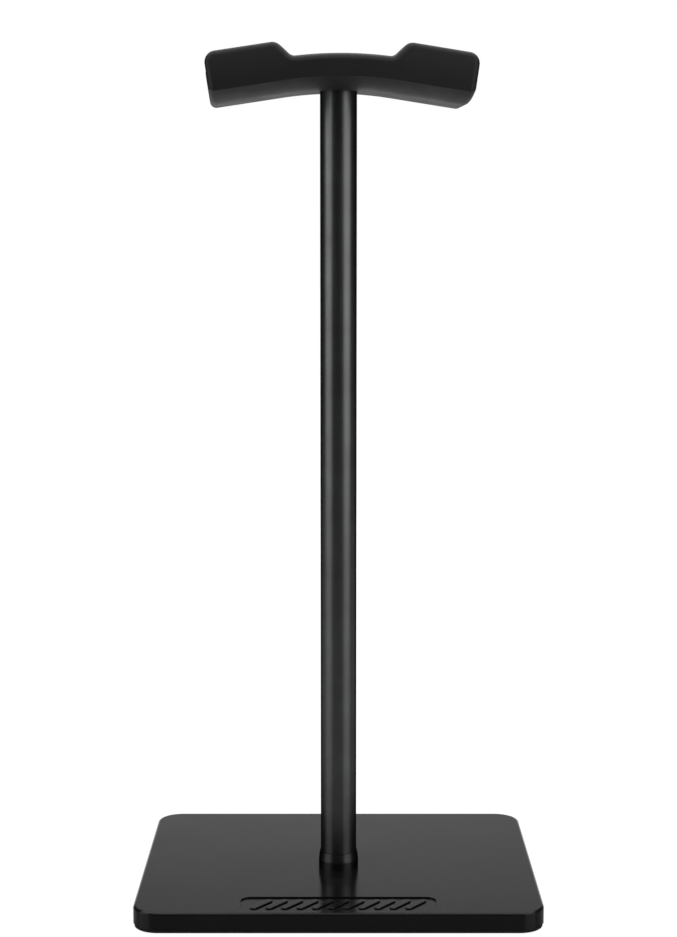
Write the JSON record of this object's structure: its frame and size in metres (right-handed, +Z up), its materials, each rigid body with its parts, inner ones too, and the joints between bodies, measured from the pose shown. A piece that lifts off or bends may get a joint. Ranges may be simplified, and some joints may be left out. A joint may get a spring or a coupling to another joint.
{
  "type": "headphone stand",
  "caption": "Desktop headphone stand: weighted flat base, slim upright pole and a soft arched saddle that turns on it.",
  "frame": {"origin": "centre of the base's underside, on the surface that the stand rests on", "axes": "+X to the right along the base's long side, -Y to the front where the sunk panel is, +Z up along the pole"},
  "size_m": [0.1274, 0.1, 0.2702],
  "materials": {
    "base_shell": "semi-gloss moulded ABS, fine texture",
    "ballast": "plain rolled steel",
    "fastener": "zinc plated",
    "non_slip": "matt foam rubber sheet",
    "collar": "black anodised, satin",
    "pole": "black anodised, satin",
    "insert": "turned",
    "saddle": "soft matt TPU",
    "hub": "moulded nylon"
  },
  "bodies": {
    "stand": {"base_cover": "base_shell", "weight_plate": "ballast", "weight_screws": "fastener", "base_pad": "non_slip", "pole_bolt": "fastener", "foot_collar": "collar", "pole_tube": "pole", "lower_insert": "insert", "upper_insert": "insert", "headrest_washer": "fastener", "headrest_spring_washer": "fastener", "headrest_screw": "fastener"},
    "head": {"headrest": "saddle", "headrest_hub": "hub", "screw_cap": "hub"}
  },
  "joints": [
    {"name": "headrest_turn", "type": "hinge", "parent": "stand", "child": "head", "pos_m": [0, -0.0055, 0.2581], "axis": [0, 0, 1], "continuous": true}
  ]
}
